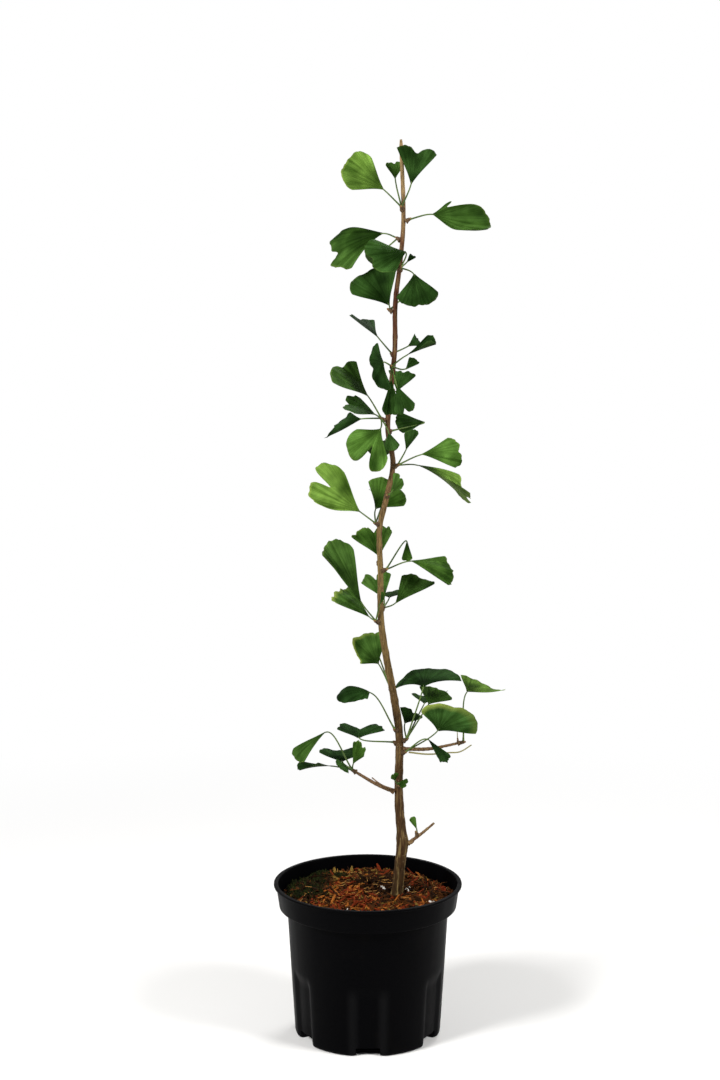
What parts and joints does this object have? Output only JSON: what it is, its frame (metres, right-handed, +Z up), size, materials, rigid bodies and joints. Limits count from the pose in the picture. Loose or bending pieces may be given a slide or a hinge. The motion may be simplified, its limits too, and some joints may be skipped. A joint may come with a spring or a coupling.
{
  "type": "potted ginkgo sapling",
  "caption": "Young ginkgo with a slender crooked stem, fan-shaped leaves on thin stalks, growing in a round black nursery pot filled with bark potting mix.",
  "frame": {"origin": "middle of the pot's flat underside, on the surface that it stands on", "axes": "+Z up, -Y front, +X to the right of the front"},
  "size_m": [0.2331, 0.19, 0.892],
  "materials": {
    "pot_plastic": "black moulded polypropylene, slightly satin",
    "potting_mix": "loose moist bark and coir",
    "bark": "young grey-brown bark",
    "leaf": "soft satin green leaf"
  },
  "bodies": {
    "root": {"pot": "pot_plastic", "potting_mix": "potting_mix", "trunk": "bark", "bough_low_left": "bark", "bough_low_right": "bark", "bough_base_right": "bark", "leaves_base_right": "leaf", "leaves_bough_left": "leaf", "leaves_bough_right": "leaf", "leaves_crown_front": "leaf", "leaves_crown_left": "leaf", "leaves_foot_front": "leaf", "leaves_half_front": "leaf", "leaves_half_left": "leaf", "leaves_half_right": "leaf", "leaves_high_back": "leaf", "leaves_high_front": "leaf", "leaves_high_left": "leaf", "leaves_knee_back": "leaf", "leaves_knee_right": "leaf", "leaves_low_back": "leaf", "leaves_low_left": "leaf", "leaves_lower_back": "leaf", "leaves_lower_front": "leaf", "leaves_lower_left": "leaf", "leaves_lower_right": "leaf", "leaves_mid_back": "leaf", "leaves_mid_left": "leaf", "leaves_mid_right": "leaf", "leaves_right_front": "leaf", "leaves_top": "leaf", "leaves_top_right": "leaf"}
  },
  "joints": []
}
